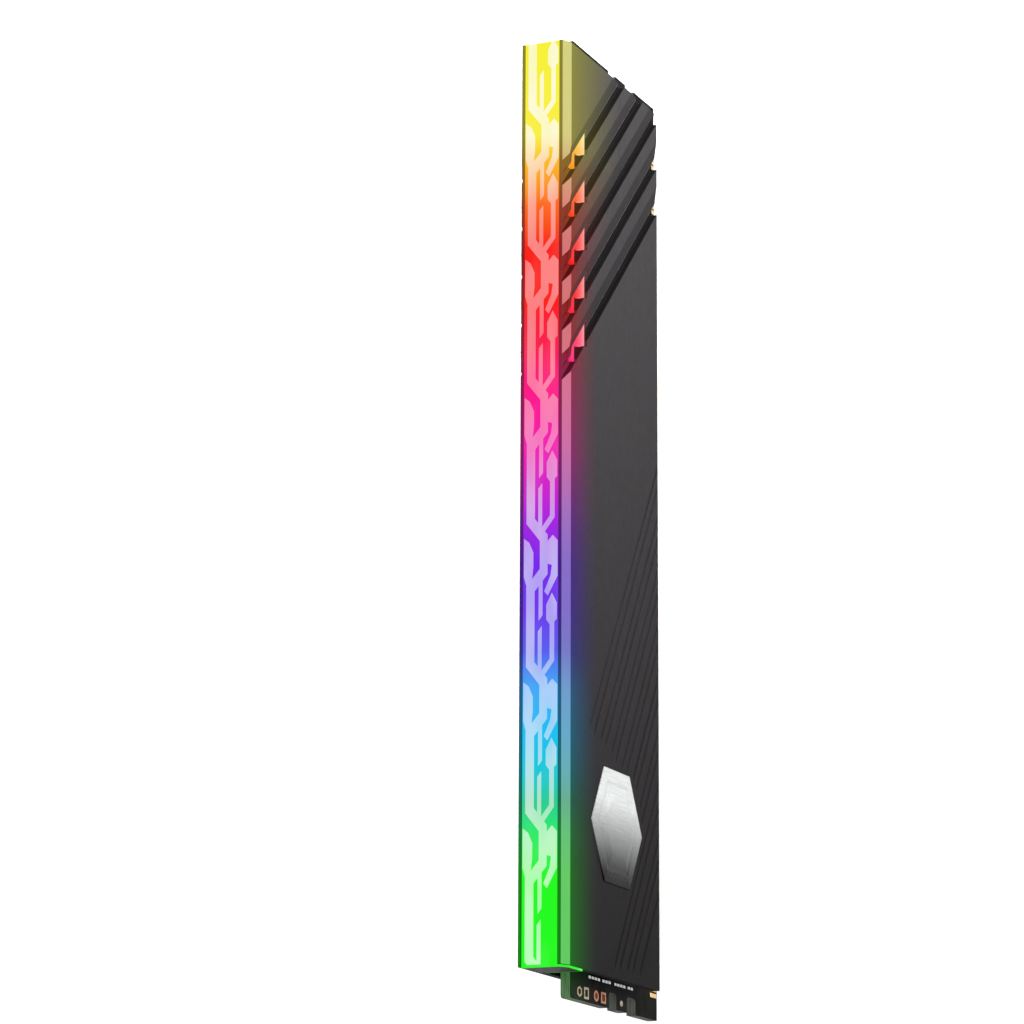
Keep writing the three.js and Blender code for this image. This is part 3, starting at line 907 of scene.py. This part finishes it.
# %% [markdown]
# ## Small chips
#
# One small chip remembers how the module is built, and another drives the lamps. Each
# could be modelled on its own, but both have the same kind of moulded body, on short
# solder tabs that show along their sides, so one function makes both.

# %% Small chips
def make_small_chip(name, tabs):
    """A moulded body with a row of solder tabs down both sides."""
    low, high = node_box(name)
    tab_out = 0.25 * MM
    tab_thick = 0.12 * MM
    bm = bmesh.new()
    block(bm, (low.x + tab_out, low.y, low.z), (high.x - tab_out, high.y - 0.05 * MM, high.z),
          bevel=0.09 * MM, segments=3)
    step = (high.z - low.z) / tabs
    for i in range(tabs):
        z = low.z + (i + 0.5) * step
        for x0, x1 in ((low.x, low.x + 2 * tab_out), (high.x - 2 * tab_out, high.x)):
            block(bm, (x0, high.y - tab_thick, z - step * 0.25), (x1, high.y, z + step * 0.25),
                  bevel=0.02 * MM, index=1)
    drum(bm, Vector((low.x + 0.75 * MM, low.y, high.z - 0.5 * MM)), 0.15 * MM, 0.02 * MM, index=1)
    finishes = [mould_black, solder_tin]
    return finish_piece(name.replace("_chip", "") + "_body", bm, finishes, [name])


small_chips = [make_small_chip("spd_chip", 4), make_small_chip("led_controller", 8)]
print("small chips:", [piece.name for piece in small_chips])

# %% [markdown]
# ## Resistor packs and capacitors
#
# A resistor pack is a white slip of ceramic under dark glass, with four solder ends above
# and four below. A capacitor is a tan ceramic brick with a tinned cap at each end. Both
# are tiny, but the resistor packs show between the contacts and the sheet, so each is
# built from a few rounded blocks instead of being left as a single one.

# %% Resistor packs and capacitors
pack_glass = speckled_finish(
    "resistor_top_glass", (0.012, 0.012, 0.014), (0.03, 0.03, 0.034), (0.25, 0.4), even(4000),
    specular=0.4
)
white_ceramic = speckled_finish(
    "white_ceramic", (0.55, 0.54, 0.50), (0.70, 0.69, 0.66), (0.45, 0.6), even(3500), specular=0.3
)
tan_ceramic = speckled_finish(
    "tan_ceramic", (0.26, 0.16, 0.08), (0.36, 0.24, 0.13), (0.4, 0.55), even(3500), specular=0.3
)
ENDS_PER_PACK = 4


def make_resistor_pack(number):
    """A white slip with dark glass on top and solder ends along both long sides."""
    name = "resistor_pack_" + str(number)
    low, high = node_box(name)
    end = 0.18 * MM
    skin = 0.05 * MM
    bm = bmesh.new()
    block(bm, (low.x, low.y + skin, low.z + end / 2), (high.x, high.y, high.z - end / 2),
          bevel=0.03 * MM, index=1)
    block(bm, (low.x + skin, low.y, low.z + end), (high.x - skin, low.y + 2 * skin, high.z - end),
          bevel=0.02 * MM, index=0)
    step = (high.x - low.x) / ENDS_PER_PACK
    for i in range(ENDS_PER_PACK):
        x = low.x + (i + 0.5) * step
        for z0, z1 in ((low.z, low.z + end), (high.z - end, high.z)):
            block(bm, (x - step * 0.3, low.y + skin / 2, z0), (x + step * 0.3, high.y, z1),
                  bevel=0.03 * MM, index=2)
    finishes = [pack_glass, white_ceramic, solder_tin]
    return finish_piece("resistors_" + str(number), bm, finishes, [name])


def make_capacitor(number):
    """A ceramic brick with a rounded tinned cap over each end."""
    name = "capacitor_" + str(number)
    low, high = node_box(name)
    cap = 0.35 * MM
    inset = 0.03 * MM
    bm = bmesh.new()
    block(bm, (low.x + inset, low.y + inset, low.z + cap / 2),
          (high.x - inset, high.y, high.z - cap / 2), bevel=0.05 * MM)
    for z0, z1 in ((low.z, low.z + cap), (high.z - cap, high.z)):
        block(bm, (low.x, low.y, z0), (high.x, high.y, z1), bevel=0.08 * MM, index=1, segments=3)
    finishes = [tan_ceramic, solder_tin]
    return finish_piece("ceramic_capacitor_" + str(number), bm, finishes, [name])


resistor_packs = [make_resistor_pack(n) for n in range(1, 9)]
capacitors = [make_capacitor(n) for n in range(1, 9)]
print("resistor packs:", len(resistor_packs), "capacitors:", len(capacitors))

# %% [markdown]
# ## Lamps
#
# The lamps shine straight up into the bar from the board's top edge. Each is a white
# plastic cup around a small clouded lens, with solder feet on its sides. Real light
# sources here would only brighten the narrow gap under the bar and add noise, so the lens
# glows by its finish alone, in the bar's colour at its own place along the card.

# %% Lamps
lamp_cup = speckled_finish(
    "lamp_cup_plastic", (0.66, 0.66, 0.62), (0.78, 0.78, 0.74), (0.35, 0.5), even(3000), specular=0.3
)
LENS_STRENGTH = 1.6


def make_lens_finish():
    """A clouded lens that glows in the bar's colour."""
    finish, tree, shader = new_finish("lit_lamp_lens", (0.5, 0.45, 0.2), 0.25)
    cloud = grain(tree, even(1500), detail=1.0)
    share = ranged(tree, cloud, 0.3, 0.7, 0.15, 0.4)
    glow(tree, shader, mix_colour(tree, share, deep_colour(tree), WHITE), LENS_STRENGTH)
    return finish


lamp_lens = make_lens_finish()


def make_lamp(number):
    """A cup, the lens sunk in its top, and a solder foot on each side."""
    name = "led_" + str(number)
    low, high = node_box(name)
    foot = 0.4 * MM
    wall = 0.25 * MM
    bm = bmesh.new()
    block(bm, (low.x + foot / 2, low.y, low.z), (high.x - foot / 2, high.y, high.z - 0.12 * MM),
          bevel=0.08 * MM, segments=3)
    block(bm, (low.x + foot + wall, low.y + wall, high.z - 0.3 * MM),
          (high.x - foot - wall, high.y - wall, high.z), bevel=0.12 * MM, index=1, segments=3)
    for x0, x1 in ((low.x, low.x + foot), (high.x - foot, high.x)):
        block(bm, (x0, high.y - 0.5 * MM, low.z + wall), (x1, high.y, high.z - 2 * wall),
              bevel=0.04 * MM, index=2)
    finishes = [lamp_cup, lamp_lens, solder_tin]
    return finish_piece("bar_lamp_" + str(number), bm, finishes, [name])


bar_lamps = [make_lamp(n) for n in range(1, 9)]
print("lamps under the bar:", len(bar_lamps))

# %% [markdown]
# ## Thermal pads
#
# A soft silicone pad fills the gap between each sheet and what is under it. It is cut
# from a sheet and pressed flat, so its cut sides swell unevenly while its broad faces stay
# level. A finely divided slab gives that: only the points on its sides move, inwards
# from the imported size, by a smooth noise. The finish is matt, with tiny trapped bubbles.

# %% Thermal pads
pad_silicone = speckled_finish(
    "thermal_silicone", (0.20, 0.225, 0.26), (0.30, 0.33, 0.37), (0.75, 0.92), even(2600),
    specular=0.15, bump=0.6
)
PAD_CUTS_LONG = 60
PAD_CUTS_TALL = 6
PAD_WAVE = 0.35 * MM
PAD_WAVE_LENGTH = 3.5 * MM
RIM = 0.01 * MM


def cut_along(bm, axis, cuts):
    """Divides every edge that runs along an axis."""
    edges = [e for e in bm.edges if abs(e.verts[0].co[axis] - e.verts[1].co[axis]) > 1.0 * MM]
    bmesh.ops.subdivide_edges(bm, edges=edges, cuts=cuts, use_grid_fill=True)


def make_thermal_pad(side):
    """A finely divided slab whose cut sides are drawn in unevenly."""
    name = "thermal_pad_" + side
    low, high = node_box(name)
    middle = (low + high) / 2
    bm = bmesh.new()
    block(bm, low, high)
    cut_along(bm, 0, PAD_CUTS_LONG)
    cut_along(bm, 2, PAD_CUTS_TALL)
    for v in bm.verts:
        swell = 0.5 + 0.5 * noise.noise(v.co / PAD_WAVE_LENGTH)
        for axis in (2, 0):
            out = v.co[axis] - middle[axis]
            if abs(out) > (high[axis] - low[axis]) / 2 - RIM:
                v.co[axis] -= math.copysign(PAD_WAVE * swell, out)
    round_edges(bm, 0.12 * MM, sharper_than=50.0, segments=3)
    for face in bm.faces:
        face.smooth = True
    return finish_piece("soft_pad_" + side, bm, [pad_silicone], [name])


soft_pads = [make_thermal_pad(side) for side in ("front", "back")]
print("pads:", [len(pad.data.polygons) for pad in soft_pads])

# %% [markdown]
# ## Badges
#
# A silver badge sits on each sheet: a plain faceted hexagon with a raised middle. It is
# pressed metal foil, bright at the end towards the middle of the card and shaded towards
# the other, with a fine engraved net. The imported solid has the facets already, so a copy
# with softened edges is enough. The shading could come from the lamps, but it would then
# change with every view, so it is part of the finish, and the net is a pair of crossing
# waves in the bump.

# %% Badges
BADGE_BRIGHT_X = -40.0 * MM
BADGE_DARK_X = -50.5 * MM
BRIGHT_SILVER = (0.31, 0.32, 0.315)
DARK_SILVER = (0.0, 0.0, 0.0)
BRUSHED_GRAINS = (5000, 5000, 300)
NET_SPACING = 0.9 * MM


def engraved_waves(tree, turn):
    """Parallel fine grooves in X and Z, turned by an angle in degrees."""
    place, _ = position(tree)
    turned = node(tree, "Mapping")
    turned.inputs["Rotation"].default_value = (0, math.radians(turn), 0)
    tree.links.new(place, turned.inputs["Vector"])
    waves = bands(tree, turned.outputs["Vector"], NET_SPACING, "X")
    return ranged(tree, waves.outputs["Fac"], 0.85, 1.0)


def make_badge_foil():
    """Brushed silver foil, shaded along X, with a net of crossing grooves."""
    grey = (0.5, 0.5, 0.5)
    finish, tree, shader = new_finish("shaded_silver_foil", grey, 0.34, metallic=0.25, specular=0.01)
    _, parts = position(tree)
    shade = maths(tree, "POWER", ranged(tree, parts[0], BADGE_DARK_X, BADGE_BRIGHT_X), 1.6)
    silver = mix_colour(tree, shade, DARK_SILVER, BRIGHT_SILVER)
    brushed = grain(tree, BRUSHED_GRAINS, detail=3.0)
    silver = vector_maths(tree, "SCALE", silver, ranged(tree, brushed, 0.3, 0.7, 0.85, 1.1))
    tree.links.new(silver, shader.inputs["Base Color"])
    net = maths(tree, "MAXIMUM", engraved_waves(tree, 45), engraved_waves(tree, -45))
    relief = maths(tree, "ADD", net, maths(tree, "MULTIPLY", brushed, 0.4))
    add_bump(tree, shader, relief, 0.35, GRAIN_DEPTH)
    vary(tree, shader, "Roughness", brushed, 0.28, 0.42)
    return finish


badge_foil = make_badge_foil()


def make_badge(side):
    name = "badge_" + side
    bm = copy_solid(name)
    count = round_edges(bm, 0.05 * MM, sharper_than=8.0)
    piece = finish_piece("silver_badge_" + side, bm, [badge_foil], [name])
    print(piece.name, "edges softened:", count)


for side in ("front", "back"):
    make_badge(side)

# %% [markdown]
# ## Marks on the board end
#
# Beyond the sheets the board carries a row of bare copper marks, small outlines of simple
# shapes, and printed notes in white ink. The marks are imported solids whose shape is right
# already, so they only need their finish: three are tinned and two stay copper. Those two
# have a reddish film of oxide inside their outline, a thin plate of its own. The printed
# notes are made as groups of plain dashes, each a very thin block of ink.

# %% Copper marks
bare_copper = speckled_finish(
    "bare_copper", (0.15, 0.055, 0.022), (0.30, 0.14, 0.06), (0.35, 0.5), even(2500),
    metallic=0.5, specular=0.1
)
tinned_copper = speckled_finish(
    "tinned_copper", (0.16, 0.12, 0.075), (0.32, 0.25, 0.16), (0.35, 0.5), even(2500),
    metallic=0.5, specular=0.1
)
red_oxide = speckled_finish(
    "red_oxide", (0.035, 0.005, 0.002), (0.08, 0.012, 0.005), (0.5, 0.7), even(3000), specular=0.05
)
MARK_RIM = 0.14 * MM
FILM_THICK = 0.02 * MM
FILM_ROUNDING = 0.008 * MM
MARK_FINISHES = {
    "mark_hexagon": tinned_copper,
    "mark_square": tinned_copper,
    "mark_round": bare_copper,
    "mark_oblong": bare_copper,
    "mark_dot": tinned_copper,
}
for mark, finish in MARK_FINISHES.items():
    cad_nodes[mark].data.materials.clear()
    cad_nodes[mark].data.materials.append(finish)
print("marks finished:", len(MARK_FINISHES))


def make_red_centres():
    """The oxide film inside the two copper outlines, level with the board."""
    bm = bmesh.new()
    for mark in ("mark_round", "mark_oblong"):
        low, high = node_box(mark)
        block(bm, (low.x + MARK_RIM, high.y - FILM_THICK, low.z + MARK_RIM),
              (high.x - MARK_RIM, high.y, high.z - MARK_RIM), bevel=FILM_ROUNDING, segments=1)
    finish_piece("red_centres", bm, [red_oxide])


make_red_centres()

# %% Printed dashes
white_ink = speckled_finish(
    "white_ink", (0.62, 0.62, 0.60), (0.80, 0.80, 0.78), (0.5, 0.7), even(4000), specular=0.1
)
INK_X = -63.25 * MM
INK_WIDTH = 0.36 * MM
INK_GROUPS = [(25.0, 4), (20.2, 3), (16.0, 4), (11.2, 2)]  # first dash's height in mm, dashes
DASH = 0.8 * MM
DASH_STEP = 1.05 * MM


def make_ink_dashes():
    """Groups of dashes down the board end."""
    face = node_box("circuit_board")[0].y
    bm = bmesh.new()
    for top, count in INK_GROUPS:
        for i in range(count):
            z = top * MM - i * DASH_STEP
            block(bm, (INK_X - INK_WIDTH / 2, face - FILM_THICK, z - DASH),
                  (INK_X + INK_WIDTH / 2, face, z), bevel=FILM_ROUNDING, segments=1)
    finish_piece("ink_dashes", bm, [white_ink])


make_ink_dashes()
print("dashes printed in groups:", len(INK_GROUPS))
